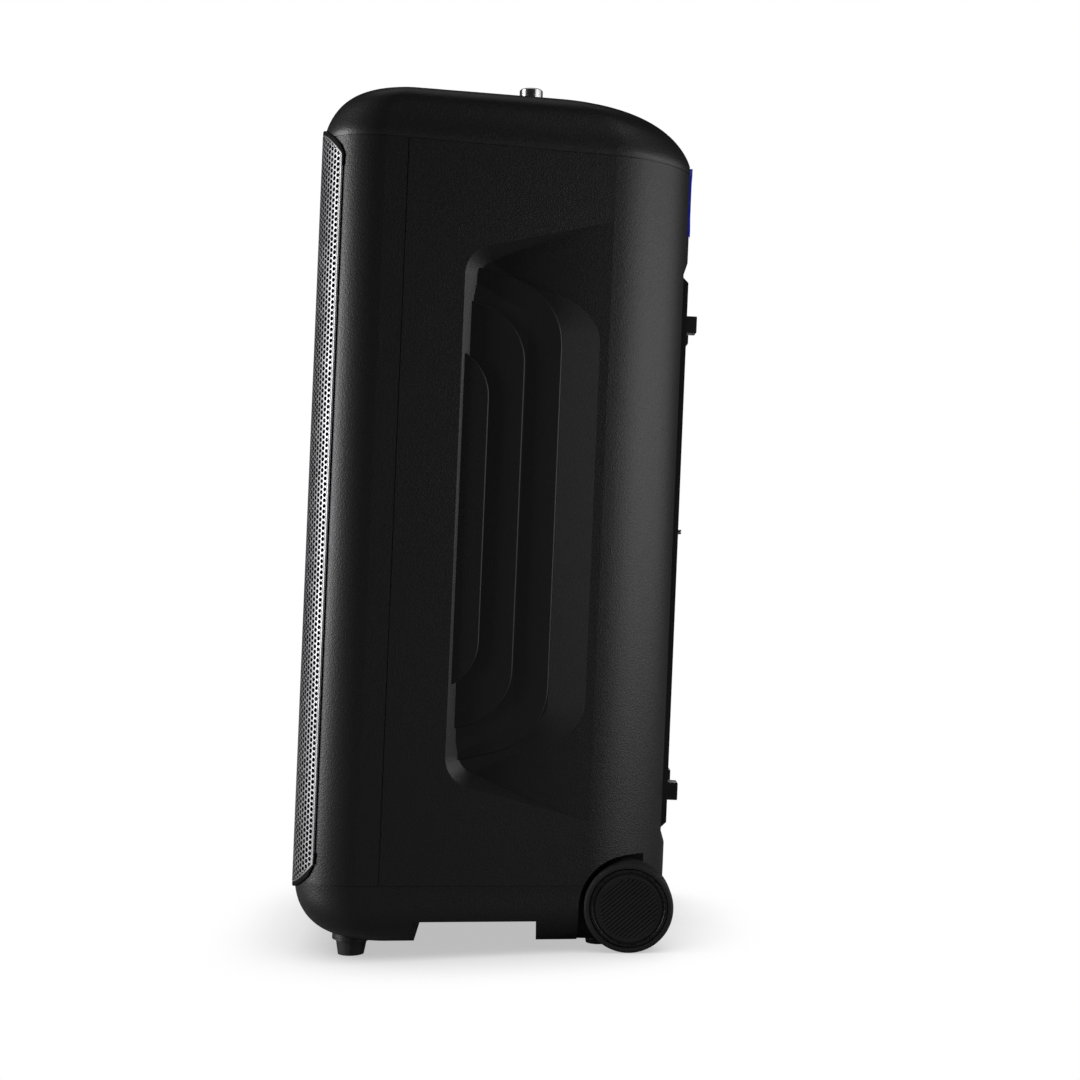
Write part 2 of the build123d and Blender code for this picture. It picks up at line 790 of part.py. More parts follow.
def control_button(x):
    """Push button with a flange under the panel that stops it coming out."""
    with BuildPart() as button:
        with BuildSketch(crown.offset(-PANEL_UNDER - 2.5)):
            with Locations((x, BUTTON_Y)):
                RectangleRounded(BUTTON_LENGTH + 3, BUTTON_WIDTH + 3, 5)
        extrude(amount=2.45)
        with BuildSketch(crown.offset(-PANEL_UNDER - 1)):
            with Locations((x, BUTTON_Y)):
                RectangleRounded(BUTTON_LENGTH, BUTTON_WIDTH, 4)
        extrude(amount=PANEL_UNDER + 1 + BUTTON_PROUD)
        top = button.faces().sort_by(Axis(crown.origin, crown.z_dir))[-1]
        fillet(top.edges(), 0.9)
    return button


def turned_knob(x, y, radius, height, shaft):
    """Round knob just clear of the panel, on a shaft that reaches towards the board."""
    with BuildPart() as knob:
        with BuildSketch(crown.offset(0.4)):
            with Locations((x, y)):
                Circle(radius)
        extrude(amount=height - 0.4)
        top = knob.faces().sort_by(Axis(crown.origin, crown.z_dir))[-1]
        chamfer(top.edges(), 1)
        with BuildSketch(crown.offset(-BOARD_DEPTH + 0.2)):
            with Locations((x, y)):
                Circle(shaft)
        extrude(amount=BOARD_DEPTH + 1)
    return knob


volume_dial = turned_knob(0, DIAL_Y, DIAL_RADIUS, DIAL_HEIGHT, DIAL_SHAFT)
guitar_volume_knob = turned_knob(-KNOB_X, KNOB_Y, KNOB_RADIUS, KNOB_HEIGHT, KNOB_SHAFT)
mic_volume_knob = turned_knob(KNOB_X, KNOB_Y, KNOB_RADIUS, KNOB_HEIGHT, KNOB_SHAFT)

# Raised panel on the back
with BuildPart() as rear_panel:
    with BuildSketch(flank_plane(0)):
        with BuildLine():
            Polyline(
                (RECESS_PLANE, PANEL_LOW),
                (BACK, PANEL_LOW + 5),
                (BACK, PANEL_HIGH - 5),
                (RECESS_PLANE, PANEL_HIGH),
                close=True,
            )
        make_face()
    extrude(amount=PANEL_HALF, both=True)
    add(slab(130, 160, IO_HALF, IO_LOW, IO_HIGH), mode=Mode.SUBTRACT)
    add(slab(130, 160, INLET_HALF, INLET_LOW, INLET_HIGH), mode=Mode.SUBTRACT)
    with BuildSketch(back_plane(130)):
        with Locations((0, PORT_HEIGHT)):
            Circle(PORT_RADIUS)
        with Locations(*SCREW_PLACES):
            Circle(SCREW_RADIUS + 0.1)
    extrude(amount=20, mode=Mode.SUBTRACT)
    with BuildSketch(back_plane(BACK - 2)):
        with Locations(*SCREW_PLACES):
            Circle(SCREW_HEAD + 0.2)
    extrude(amount=5, mode=Mode.SUBTRACT)

with BuildPart() as rear_panel_screws:
    with BuildSketch(back_plane(BACK - 2)):
        with Locations(*SCREW_PLACES):
            Circle(SCREW_HEAD)
    extrude(amount=1.8)
    with BuildSketch(back_plane(128)):
        with Locations(*SCREW_PLACES):
            Circle(SCREW_RADIUS)
    extrude(amount=BACK - 2 - 128)

with BuildPart() as io_panel:
    add(slab(RECESS_PLANE, BACK - 2, IO_HALF - 0.3, IO_LOW + 0.3, IO_HIGH - 0.3))
    add(slab(RECESS_PLANE - 3, RECESS_PLANE, IO_HALF + 4, IO_LOW - 4, IO_HIGH + 4))
    with BuildSketch(back_plane(120)):
        with Locations(*JACK_PLACES):
            Circle(JACK_OUTER)
        with Locations(AUX_PLACE):
            Circle(AUX_OUTER)
        with Locations(USB_PLACE):
            Rectangle(USB_WIDTH, USB_HEIGHT)
        with Locations((LEVER_X, LEVER_HEIGHT)):
            Rectangle(6, 9)
    extrude(amount=30, mode=Mode.SUBTRACT)

with BuildPart() as jack_sockets:
    with BuildSketch(back_plane(BACK - JACK_LENGTH)):
        with Locations(*JACK_PLACES):
            Circle(JACK_OUTER)
            Circle(JACK_BORE, mode=Mode.SUBTRACT)
        with Locations(AUX_PLACE):
            Circle(AUX_OUTER)
            Circle(AUX_BORE, mode=Mode.SUBTRACT)
    extrude(amount=JACK_LENGTH - 0.5)

with BuildPart() as usb_socket:
    with BuildSketch(back_plane(BACK - 16)):
        with Locations(USB_PLACE):
            Rectangle(USB_WIDTH, USB_HEIGHT)
    extrude(amount=14.5)
    with BuildSketch(back_plane(BACK - 14)):
        with Locations(USB_PLACE):
            Rectangle(USB_WIDTH - 1.6, USB_HEIGHT - 1.6)
    extrude(amount=20, mode=Mode.SUBTRACT)
    with BuildSketch(back_plane(BACK - 14)):
        with Locations((USB_PLACE[0], USB_PLACE[1] + 1)):
            Rectangle(USB_WIDTH - 3, 2)
    extrude(amount=11)

with BuildPart() as mode_lever:
    with BuildSketch(back_plane(LEVER_PIVOT)):
        with Locations((LEVER_X, LEVER_HEIGHT)):
            Circle(2.2)
    extrude(amount=LEVER_TIP - LEVER_PIVOT)
    fillet(mode_lever.edges().sort_by(Axis(cabinet.origin, cabinet.y_dir))[-1], 1)

with BuildPart() as ac_inlet:
    add(slab(112, BACK - 0.5, INLET_HALF - 0.2, INLET_LOW + 0.2, INLET_HIGH - 0.2))
    add(slab(RECESS_PLANE - 3, RECESS_PLANE, INLET_HALF + 4, INLET_LOW - 4, INLET_HIGH + 4))
    cavity_low = INLET_LOW + 3.5
    cavity_high = INLET_HIGH - 3.5
    add(slab(120, 160, INLET_HALF - 3.5, cavity_low, cavity_high), mode=Mode.SUBTRACT)
    with BuildSketch(back_plane(119)):
        with Locations((-5, (INLET_LOW + INLET_HIGH) / 2), (5, (INLET_LOW + INLET_HIGH) / 2)):
            Circle(1.4)
    extrude(amount=13)

with BuildPart() as bass_port:
    with BuildSketch(back_plane(62)):
        with Locations((0, PORT_HEIGHT)):
            Circle(PORT_RADIUS)
            Circle(PORT_RADIUS - 3, mode=Mode.SUBTRACT)
    extrude(amount=BACK - 62)

with BuildPart() as rear_bumpers:
    with BuildSketch(back_plane(BACK)):
        for height, thick in ((UPPER_BUMPER, 14.5), (LOWER_BUMPER, 15)):
            with Locations((-BUMPER_X, height), (BUMPER_X, height)):
                RectangleRounded(20, thick, 1)
    extrude(amount=BUMPER_PROUD)
    fillet(rear_bumpers.faces().sort_by(Axis(cabinet.origin, cabinet.y_dir))[-4:].edges(), 0.8)

# Electronics inside
with BuildPart() as amplifier_board:
    add(slab(108, 109.6, 31, 200, 440))

with BuildPart() as heat_sink:
    add(slab(104, 108, 31, 300, 400))
    for index in range(9):
        fin = -28 + index * 7
        with BuildSketch(level(300)):
            with Locations((fin, 94)):
                Rectangle(2, 20)
        extrude(amount=100)

with BuildPart() as battery_pack:
    floor_level = CHANNEL_TOP + WALL
    add(slab(-68, 28, 60, floor_level, floor_level + 58))
    fillet(battery_pack.edges().filter_by(Axis(cabinet.origin, cabinet.z_dir)), 6)

with BuildPart() as power_supply:
    add(slab(38, 94, 38, BOTTOM + CAP_WALL, 62))

# Telescopic handle
with BuildPart() as handle_space:
    extrude(straight_plan(4, level(600)), amount=HIGH_SEAM - 600)
    add(top_hollow.part)
    extrude(straight_plan(4.1, level(590)), amount=200, mode=Mode.INTERSECT)

with BuildPart() as handle_recess:
    add(slab(85.5, 160, RECESS_HALF + 2.4, RECESS_LOW, 740))
    add(slab(88, 170, RECESS_HALF, RECESS_LOW + 2.5, 760), mode=Mode.SUBTRACT)
    add(handle_space.part, mode=Mode.INTERSECT)
    with BuildSketch(level(600)):
        with Locations((-TUBE_X, TUBE_Y), (TUBE_X, TUBE_Y)):
            Circle(TUBE_RADIUS + 0.5)
    extrude(amount=40, mode=Mode.SUBTRACT)

with BuildPart() as handle_light_frame:
    with BuildSketch(back_plane(80)):
        with Locations((0, FRAME_MIDDLE)):
            RectangleRounded(2 * RECESS_HALF + 4.8, FRAME_HEIGHT, 16)
            RectangleRounded(2 * RECESS_HALF - 7, FRAME_HEIGHT - 11, 12, mode=Mode.SUBTRACT)
    extrude(amount=80)
    extrude(straight_plan(-1, level(600)), amount=90, mode=Mode.INTERSECT)
    extrude(straight_plan(4, level(600)), amount=90, mode=Mode.SUBTRACT)

with BuildPart() as trolley_grip:
    add(top_form.part)
    add(slab(GRIP_FRONT, 160, RECESS_HALF - 0.6, GRIP_LOW, 760), mode=Mode.INTERSECT)
    with BuildSketch(level(GRIP_LOW)):
        with Locations((-TUBE_X, TUBE_Y), (TUBE_X, TUBE_Y)):
            Circle(TUBE_RADIUS)
    extrude(amount=TUBE_INSERT, mode=Mode.SUBTRACT)
    with BuildSketch(level(RELEASE_LOW - 4)):
        with Locations((0, RELEASE_Y)):
            RectangleRounded(36.5, 12.5, 5)
    extrude(amount=60, mode=Mode.SUBTRACT)

with BuildPart() as release_button:
    add(top_form.part)
    with BuildSketch(level(RELEASE_LOW)):
        with Locations((0, RELEASE_Y)):
            RectangleRounded(36, 12, 4.8)
    extrude(amount=60, mode=Mode.INTERSECT)

with BuildPart() as trolley_tubes:
    with BuildSketch(level(TUBE_BOTTOM)):
        with Locations((-TUBE_X, TUBE_Y), (TUBE_X, TUBE_Y)):
            Circle(TUBE_RADIUS)
            Circle(TUBE_RADIUS - 1.5, mode=Mode.SUBTRACT)
    extrude(amount=GRIP_LOW + TUBE_INSERT - TUBE_BOTTOM)

with BuildPart() as trolley_sleeves:
    with BuildSketch(level(TUBE_BOTTOM - 8)):
        with Locations((-TUBE_X, TUBE_Y), (TUBE_X, TUBE_Y)):
            Circle(SLEEVE_RADIUS)
            Circle(TUBE_RADIUS + RUNNING_FIT, mode=Mode.SUBTRACT)
    extrude(amount=SLEEVE_TOP - TUBE_BOTTOM + 8)

with BuildPart() as trolley_brackets:
    for height in BRACKET_HEIGHTS:
        add(slab(101, 135, 60, height, height + 12))
    add(middle_hollow.part, mode=Mode.INTERSECT)
    with BuildSketch(level(TUBE_BOTTOM - 8)):
        with Locations((-TUBE_X, TUBE_Y), (TUBE_X, TUBE_Y)):
            Circle(SLEEVE_RADIUS)
    extrude(amount=600, mode=Mode.SUBTRACT)

# Wheels
with BuildPart() as wheel_axle:
    with BuildSketch(flank_plane(0)):
        with Locations((WHEEL_Y, WHEEL_Z)):
            Circle(AXLE_RADIUS)
    extrude(amount=AXLE_HALF, both=True)

with BuildPart() as right_wheel_tyre:
    with BuildSketch(flank_plane(WHEEL_INNER)):
        with Locations((WHEEL_Y, WHEEL_Z)):
            Circle(WHEEL_RADIUS)
            Circle(HUB_RADIUS, mode=Mode.SUBTRACT)
    extrude(amount=WHEEL_OUTER - WHEEL_INNER)
    rims = right_wheel_tyre.edges().filter_by(GeomType.CIRCLE)
    fillet([edge for edge in rims if edge.radius > HUB_RADIUS + 1], 3)

with BuildPart() as right_wheel_hub:
    with BuildSketch(flank_plane(WHEEL_INNER + 1)):
        with Locations((WHEEL_Y, WHEEL_Z)):
            Circle(HUB_RADIUS)
            Circle(AXLE_RADIUS + 0.06, mode=Mode.SUBTRACT)
    extrude(amount=HUB_FACE - WHEEL_INNER - 1)

with BuildPart() as right_wheel_ring:
    with BuildSketch(flank_plane(HUB_FACE)):
        with Locations((WHEEL_Y, WHEEL_Z)):
            Circle(32.3)
            Circle(29.4, mode=Mode.SUBTRACT)
    extrude(amount=2)
    outer_face = right_wheel_ring.faces().sort_by(Axis.X)[-1]
    fillet(outer_face.edges(), 0.6)

with BuildPart() as right_wheel_cap:
    with BuildSketch(flank_plane(HUB_FACE)):
        with Locations((WHEEL_Y, WHEEL_Z)):
            Circle(CAP_RADIUS)
    extrude(amount=1.4)
    with BuildSketch(flank_plane(HUB_FACE + 1.4)):
        for index in range(RIBS):
            shift = (index - (RIBS - 1) / 2) * RIB_PITCH
            place = (
                WHEEL_Y - shift * sin(radians(RIB_ANGLE)),
                WHEEL_Z + shift * cos(radians(RIB_ANGLE)),
            )
            with Locations(Location((place[0], place[1], 0), (0, 0, RIB_ANGLE))):
                Rectangle(70, RIB_PITCH * 0.55)
        with Locations((WHEEL_Y, WHEEL_Z)):
            Circle(CAP_RADIUS - 3, mode=Mode.INTERSECT)
    extrude(amount=0.9)


def mirrored(part):
    """The same piece on the left."""
    with BuildPart() as copy:
        add(part.mirror(Plane.YZ))
    return copy


pieces = {
    "front_housing": front_housing_whole,
    "rear_housing": rear_housing,
    "top_cap": top_cap,
    "bottom_cap": bottom_cap,
    "front_baffle": front_baffle,
    "grille": grille,
    "grille_frame": grille_frame,
    **woofer_parts,
    "woofer_magnets": woofer_magnets,
    "woofer_light_rings": woofer_light_rings,
    "left_tweeter_horn": left_tweeter_horn,
    "right_tweeter_horn": right_tweeter_horn,
    "tweeter_drivers": tweeter_drivers,
    "left_side_insert": left_side_insert,
    "right_side_insert": right_side_insert,
    "control_panel": control_panel,
    "control_board": control_board,
    "volume_dial": volume_dial,
    "guitar_volume_knob": guitar_volume_knob,
    "mic_volume_knob": mic_volume_knob,
    "rear_panel": rear_panel,
    "rear_panel_screws": rear_panel_screws,
    "io_panel": io_panel,
    "jack_sockets": jack_sockets,
    "usb_socket": usb_socket,
    "mode_lever": mode_lever,
    "ac_inlet": ac_inlet,
    "bass_port": bass_port,
    "rear_bumpers": rear_bumpers,
    "amplifier_board": amplifier_board,
    "heat_sink": heat_sink,
    "battery_pack": battery_pack,
    "power_supply": power_supply,
    "handle_recess": handle_recess,
    "handle_light_frame": handle_light_frame,
    "trolley_grip": trolley_grip,
    "release_button": release_button,
    "trolley_tubes": trolley_tubes,
    "trolley_sleeves": trolley_sleeves,
    "trolley_brackets": trolley_brackets,
    "wheel_axle": wheel_axle,
    "right_wheel_tyre": right_wheel_tyre,
    "right_wheel_hub": right_wheel_hub,
    "right_wheel_ring": right_wheel_ring,
    "right_wheel_cap": right_wheel_cap,
    "left_wheel_tyre": mirrored(right_wheel_tyre.part),
    "left_wheel_hub": mirrored(right_wheel_hub.part),
    "left_wheel_ring": mirrored(right_wheel_ring.part),
    "left_wheel_cap": mirrored(right_wheel_cap.part),
    "front_feet": front_feet,
    "rear_feet": rear_feet,
}
for name, x in BUTTONS.items():
    pieces[f"{name}_button"] = control_button(x)

os.makedirs("parts", exist_ok=True)
for name, piece in pieces.items():
    piece.part.label = name
    export_step(piece.part, f"parts/{name}.step")
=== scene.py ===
import json
import math

import bmesh
import bpy
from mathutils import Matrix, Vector


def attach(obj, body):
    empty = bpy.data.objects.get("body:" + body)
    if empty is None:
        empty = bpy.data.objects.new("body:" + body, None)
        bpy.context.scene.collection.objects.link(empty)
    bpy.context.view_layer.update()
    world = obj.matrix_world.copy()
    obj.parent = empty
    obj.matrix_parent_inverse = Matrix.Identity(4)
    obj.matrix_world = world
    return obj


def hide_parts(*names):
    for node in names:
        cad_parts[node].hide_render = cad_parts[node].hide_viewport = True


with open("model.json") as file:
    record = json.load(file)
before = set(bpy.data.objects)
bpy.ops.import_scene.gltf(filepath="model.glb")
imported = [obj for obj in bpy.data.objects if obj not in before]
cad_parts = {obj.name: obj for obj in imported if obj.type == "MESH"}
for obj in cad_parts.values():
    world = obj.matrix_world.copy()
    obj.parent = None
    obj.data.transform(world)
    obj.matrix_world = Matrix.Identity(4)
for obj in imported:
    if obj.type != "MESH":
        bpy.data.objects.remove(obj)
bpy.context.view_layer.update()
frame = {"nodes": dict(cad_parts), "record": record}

MM = 0.001
NODES = frame["nodes"]
scene = bpy.context.scene

# The cabinet leans back: its own depth and height directions, in the floor's frame
LEAN = math.radians(2.37)
BACKWARD = Vector((0, math.cos(LEAN), -math.sin(LEAN)))
UPWARD = Vector((0, math.sin(LEAN), math.cos(LEAN)))


def spot(x, y, z):
    """Floor-frame point, in metres, of a place in the cabinet's own directions, in mm."""
    return Vector((x * MM, 0, 0)) + BACKWARD * (y * MM) + UPWARD * (z * MM)


# ---------------------------------------------------------------- materials


WEAR_WIDTH = 0.0006         # metres that edge wear reaches from an edge
WEAR_FULL = 0.80            # likeness of the rounded and the true normal where wear is full
WEAR_NONE = 0.99            # and where it ends


class Shader:
    """A small helper that builds one node material around a Principled shader."""

    def __init__(self, name):
        self.material = bpy.data.materials.new(name)
        self.material.use_nodes = True
        self.tree = self.material.node_tree
        self.main = next(n for n in self.tree.nodes if n.type == "BSDF_PRINCIPLED")
        self.place = self.tree.nodes.new("ShaderNodeTexCoord").outputs["Object"]

    def node(self, kind):
        return self.tree.nodes.new(kind)

    def link(self, output, target):
        self.tree.links.new(output, target)

    def stretched(self, scale):
        """The object position, scaled on each axis."""
        mapping = self.node("ShaderNodeMapping")
        mapping.inputs["Scale"].default_value = scale
        self.link(self.place, mapping.inputs["Vector"])
        return mapping.outputs["Vector"]

    def noise(self, scale, detail, roughness=0.55, vector=None):
        made = self.node("ShaderNodeTexNoise")
        made.inputs["Scale"].default_value = scale
        made.inputs["Detail"].default_value = detail
        made.inputs["Roughness"].default_value = roughness
        self.link(vector or self.place, made.inputs["Vector"])
        return made.outputs["Fac"]

    def cells(self, scale, feature):
        made = self.node("ShaderNodeTexVoronoi")
        made.feature = feature
        made.inputs["Scale"].default_value = scale
        self.link(self.place, made.inputs["Vector"])
        return made.outputs["Distance"]

    def ramp(self, factor, low, high, start=0.35, end=0.65):
        made = self.node("ShaderNodeMapRange")
        made.inputs["From Min"].default_value = start
        made.inputs["From Max"].default_value = end
        made.inputs["To Min"].default_value = low
        made.inputs["To Max"].default_value = high
        self.link(factor, made.inputs["Value"])
        return made.outputs["Result"]

    def mixed(self, factor, first, second):
        made = self.node("ShaderNodeMix")
        made.data_type = "RGBA"
        made.inputs["A"].default_value = (*first, 1)
        made.inputs["B"].default_value = (*second, 1)
        self.link(factor, made.inputs["Factor"])
        return made.outputs["Result"]

    def colour(self, factor, first, second):
        self.link(self.mixed(factor, first, second), self.main.inputs["Base Color"])

    def rough(self, factor, low, high):
        self.link(self.ramp(factor, low, high), self.main.inputs["Roughness"])

    def bump(self, height, strength, distance, below=None):
        made = self.node("ShaderNodeBump")
        made.inputs["Strength"].default_value = strength
        made.inputs["Distance"].default_value = distance
        self.link(height, made.inputs["Height"])
        if below is not None:
            self.link(below, made.inputs["Normal"])
        self.link(made.outputs["Normal"], self.main.inputs["Normal"])
        return made.outputs["Normal"]

    def either(self, first, second):
        """The greater of two values."""
        made = self.node("ShaderNodeMath")
        made.operation = "MAXIMUM"
        self.link(first, made.inputs[0])
        self.link(second, made.inputs[1])
        return made.outputs["Value"]

    def worn_edges(self):
        """0 in the open, 1 near a sharp edge."""
        bevel = self.node("ShaderNodeBevel")
        bevel.samples = 4
        bevel.inputs["Radius"].default_value = WEAR_WIDTH
        geometry = self.node("ShaderNodeNewGeometry")
        dot = self.node("ShaderNodeVectorMath")
        dot.operation = "DOT_PRODUCT"
        self.link(bevel.outputs["Normal"], dot.inputs[0])
        self.link(geometry.outputs["Normal"], dot.inputs[1])
        return self.ramp(dot.outputs["Value"], 1.0, 0.0, WEAR_FULL, WEAR_NONE)


def leather_plastic(name, dark, light, grain, depth, roughness):
    """Moulded black plastic with a fine leather-like grain."""
    s = Shader(name)
    pebble = s.cells(grain, "SMOOTH_F1")
    wrinkle = s.noise(grain * 1.1, 5, 0.65)
    fine = s.noise(grain * 2.6, 3, 0.6)
    s.colour(s.either(s.ramp(wrinkle, 0, 1), s.worn_edges()), dark, light)
    s.rough(fine, roughness - 0.06, roughness + 0.06)
    first = s.bump(fine, 0.4, depth * 0.4)
    second = s.bump(wrinkle, 0.8, depth, first)
    s.bump(pebble, 0.9, depth, second)
    return s.material


def satin_plastic(name, dark, light, roughness):
    """Smooth black moulding with a low sheen."""
    s = Shader(name)
    s.colour(s.ramp(s.noise(14, 3), 0, 1), dark, light)
    s.rough(s.noise(90, 4), roughness - 0.05, roughness + 0.05)
    s.bump(s.noise(1500, 3, 0.6), 0.25, 0.00006)
    return s.material


def matte_gap_shade_plastic(name, dark, light):
    """Deep black moulding that hardly shines: partly the part's own black, partly painted shade of
    the gap it fills.
    """
    s = Shader(name)
    s.colour(s.ramp(s.noise(40, 3), 0, 1), dark, light)
    s.rough(s.noise(200, 4), 0.75, 0.9)
    s.bump(s.noise(1400, 3, 0.6), 0.3, 0.00006)
    # so little reflection keeps the moulding as black as the painted shade it stands in for
    s.main.inputs["Specular IOR Level"].default_value = 0.15
    return s.material


def gloss_plastic(name, dark, light, roughness):
    """Polished moulding with a clear coat and faint smears."""
    s = Shader(name)
    s.colour(s.ramp(s.noise(20, 2), 0, 1), dark, light)
    s.rough(s.noise(45, 5, 0.7), roughness, roughness + 0.07)
    s.bump(s.noise(240, 3), 0.12, 0.00003)
    s.main.inputs["Coat Weight"].default_value = 0.6
    s.main.inputs["Coat Roughness"].default_value = 0.06
    return s.material


def rubber(name, colour):
    """Dull rubber with dusty patches."""
    s = Shader(name)
    lighter = tuple(min(1, c * 1.6 + 0.004) for c in colour)
    s.colour(s.ramp(s.noise(30, 4), 0, 1), colour, lighter)
    s.rough(s.noise(120, 4), 0.62, 0.82)
    s.bump(s.noise(900, 4, 0.7), 0.4, 0.00008)
    return s.material


def metal(name, dark, light, roughness, brushed=(1, 1, 1)):
    """Bare metal, with its brush marks drawn out along the axis of least scale."""
    s = Shader(name)
    streaks = s.noise(420, 4, 0.6, s.stretched(brushed))
    s.colour(s.ramp(streaks, 0, 1), dark, light)
    s.rough(streaks, roughness - 0.06, roughness + 0.08)
    s.bump(streaks, 0.15, 0.00003)
    s.main.inputs["Metallic"].default_value = 1.0
    return s.material


def coated_steel(name, dark, light):
    """Powder-coated sheet steel with a slight orange peel."""
    s = Shader(name)
    s.colour(s.ramp(s.noise(25, 3), 0, 1), dark, light)
    s.rough(s.noise(150, 3), 0.34, 0.48)
    s.bump(s.noise(1300, 2), 0.25, 0.00005)
    s.main.inputs["Metallic"].default_value = 0.7
    return s.material


def paper_cone(name):
    """Pressed paper pulp."""
    s = Shader(name)
    s.colour(s.ramp(s.noise(70, 5), 0, 1), (0.012, 0.012, 0.013), (0.03, 0.03, 0.032))
    s.rough(s.noise(200, 4), 0.7, 0.9)
    s.bump(s.noise(700, 5, 0.7), 0.6, 0.0002)
    return s.material


def light_guide(name, colour, glow, strength):
    """Milky plastic, lit from within when it has a strength."""
    s = Shader(name)
    s.colour(s.ramp(s.noise(60, 2), 0, 1), colour, tuple(c * 0.8 for c in colour))
    s.rough(s.noise(180, 3), 0.25, 0.4)
    s.bump(s.noise(500, 3), 0.1, 0.00004)
    s.main.inputs["Emission Color"].default_value = (*glow, 1)
    s.main.inputs["Emission Strength"].default_value = strength
    return s.material


def circuit_board(name):
    """Green lacquer with lighter lines between its cells."""
    s = Shader(name)
    traces = s.cells(260, "DISTANCE_TO_EDGE")
    s.colour(s.ramp(traces, 0, 1, 0.02, 0.06), (0.05, 0.16, 0.07), (0.01, 0.06, 0.025))
    s.rough(s.noise(80, 2), 0.3, 0.45)
    s.bump(traces, 0.2, 0.00003)
    return s.material


BLACK = {
    # dark and light tone of each black moulding
    "cabinet": ((0.008, 0.008, 0.0085), (0.012, 0.012, 0.0125)),
    "insert": ((0.0065, 0.0065, 0.007), (0.0095, 0.0095, 0.010)),
    "inner": ((0.006, 0.006, 0.006), (0.011, 0.011, 0.011)),
    # the end trims are the darkest: real black moulding, darkened further as painted shade of the
    # gap at each end of the grille
    "trim_and_gap_shade": ((0.0025, 0.0025, 0.0025), (0.004, 0.004, 0.004)),
    "panel": ((0.004, 0.004, 0.0045), (0.007, 0.007, 0.007)),
    "button": ((0.02, 0.02, 0.021), (0.03, 0.03, 0.031)),
    "socket": ((0.006, 0.006, 0.006), (0.01, 0.01, 0.01)),
    "hub": ((0.018, 0.018, 0.019), (0.026, 0.026, 0.027)),
}
BATTERY_BLUE = ((0.02, 0.05, 0.18), (0.03, 0.07, 0.24))
GRILLE_GREY = ((0.26, 0.26, 0.27), (0.34, 0.34, 0.35))
CASE_GREY = ((0.25, 0.25, 0.26), (0.32, 0.32, 0.33))
FERRITE = ((0.05, 0.05, 0.052), (0.09, 0.09, 0.09))
DARK_RING = ((0.045, 0.045, 0.047), (0.08, 0.08, 0.082))
CHROME = ((0.50, 0.50, 0.52), (0.72, 0.72, 0.73))
STEEL = ((0.20, 0.20, 0.205), (0.34, 0.34, 0.345))
NICKEL = ((0.5, 0.5, 0.51), (0.68, 0.68, 0.69))
SINK_ALUMINIUM = ((0.5, 0.51, 0.53), (0.66, 0.67, 0.68))
TUBE_ALUMINIUM = ((0.32, 0.33, 0.35), (0.46, 0.47, 0.49))
# grain of the leather-like mouldings: cells per metre, and depth in metres
CABINET_GRAIN = (780, 0.00015)
INSERT_GRAIN = (1100, 0.00008)

MATERIALS = {
    "cabinet_plastic": leather_plastic("cabinet_plastic", *BLACK["cabinet"], *CABINET_GRAIN, 0.43),
    "insert_plastic": leather_plastic("insert_plastic", *BLACK["insert"], *INSERT_GRAIN, 0.5),
    "inner_plastic": satin_plastic("inner_plastic", *BLACK["inner"], 0.6),
    "grille_steel": coated_steel("grille_steel", *GRILLE_GREY),
    # painted shade: the end trims' colour stands in partly for the shadow in the grille's end
    # joints
    "trim_plastic_gap_shade": matte_gap_shade_plastic("trim_plastic_gap_shade", *BLACK["trim_and_gap_shade"]),
    "ring_metal": metal("ring_metal", *DARK_RING, 0.42),
    "cone_paper": paper_cone("cone_paper"),
    "magnet_ferrite": metal("magnet_ferrite", *FERRITE, 0.5),
    "light_ring": light_guide("light_ring", (0.6, 0.63, 0.66), (0, 0, 0), 0.0),
    "blue_light": light_guide("blue_light", (0.008, 0.01, 0.09), (0.02, 0.04, 1.0), 0.16),
    "gloss_panel": gloss_plastic("gloss_panel", *BLACK["panel"], 0.12),
    "button_plastic": satin_plastic("button_plastic", *BLACK["button"], 0.45),
    "knob_metal": metal("knob_metal", *CHROME, 0.24, (1, 1, 14)),
    "screw_steel": metal("screw_steel", *STEEL, 0.35),
    "socket_plastic": gloss_plastic("socket_plastic", *BLACK["socket"], 0.3),
    "socket_metal": metal("socket_metal", *NICKEL, 0.25),
    "bumper_rubber": rubber("bumper_rubber", (0.006, 0.006, 0.006)),
    "board": circuit_board("board"),
    "heat_sink_aluminium": metal("heat_sink_aluminium", *SINK_ALUMINIUM, 0.4, (1, 1, 20)),
    "battery_wrap": gloss_plastic("battery_wrap", *BATTERY_BLUE, 0.3),
    "supply_case": coated_steel("supply_case", *CASE_GREY),
    "tube_aluminium": metal("tube_aluminium", *TUBE_ALUMINIUM, 0.3, (9, 9, 1)),
    "tyre_rubber": rubber("tyre_rubber", (0.008, 0.008, 0.008)),
    "hub_plastic": satin_plastic("hub_plastic", *BLACK["hub"], 0.36),
}
SLOT_OF = {row["node"]: row["material_slot"] for row in frame["record"]["subparts"]}


def dress(obj, material_name):
    """Gives an object one material, in place of any it has."""
    obj.data.materials.clear()
    obj.data.materials.append(MATERIALS[material_name])


for node_name, obj in NODES.items():
    dress(obj, SLOT_OF[node_name])
for side in ("right", "left"):
    dress(NODES[side + "_wheel_ring"], "ring_metal")


def piece(name, mesh, slot, material=None):
    """Puts a finished mesh in the scene as a piece that rides on the cabinet."""
    obj = bpy.data.objects.new(name, mesh)
    scene.collection.objects.link(obj)
    dress(obj, material or slot)
    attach(obj, "cabinet")
    return obj


# ---------------------------------------------------------------- grille

